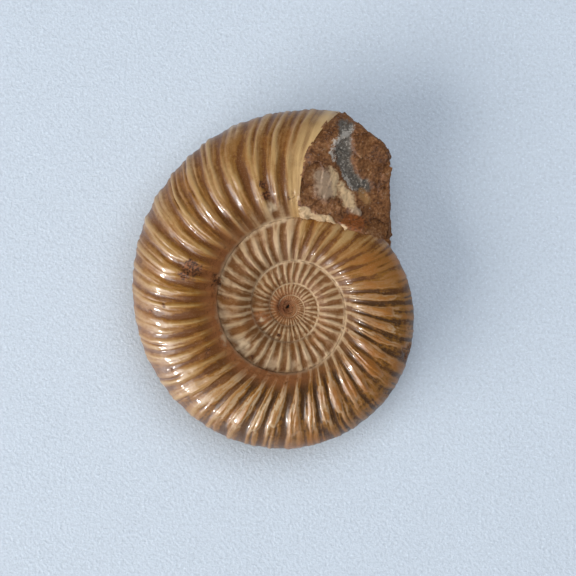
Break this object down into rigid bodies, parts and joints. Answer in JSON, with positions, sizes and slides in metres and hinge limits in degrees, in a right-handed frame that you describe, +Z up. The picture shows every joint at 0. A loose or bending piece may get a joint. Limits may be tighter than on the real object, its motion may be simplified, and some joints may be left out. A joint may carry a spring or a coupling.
{
  "type": "ammonite fossil",
  "caption": "Flat-coiled ammonite fossil with split ribs, a wide navel and a broken rock face where the last whorl ends.",
  "frame": {"origin": "bottom centre of the bounding box, on the surface that the fossil lies on", "axes": "+Z up from that surface, +Y along the longest extent towards the broken end, +X to the right of it seen from above"},
  "size_m": [0.0904, 0.1082, 0.0333],
  "materials": {
    "shell": "polished golden-brown calcite shell, darker in the furrows between the ribs",
    "matrix": "rough dark reddish-brown rock with a blue-grey band, on the broken face"
  },
  "bodies": {
    "root": {"ammonite": "shell"}
  },
  "joints": []
}
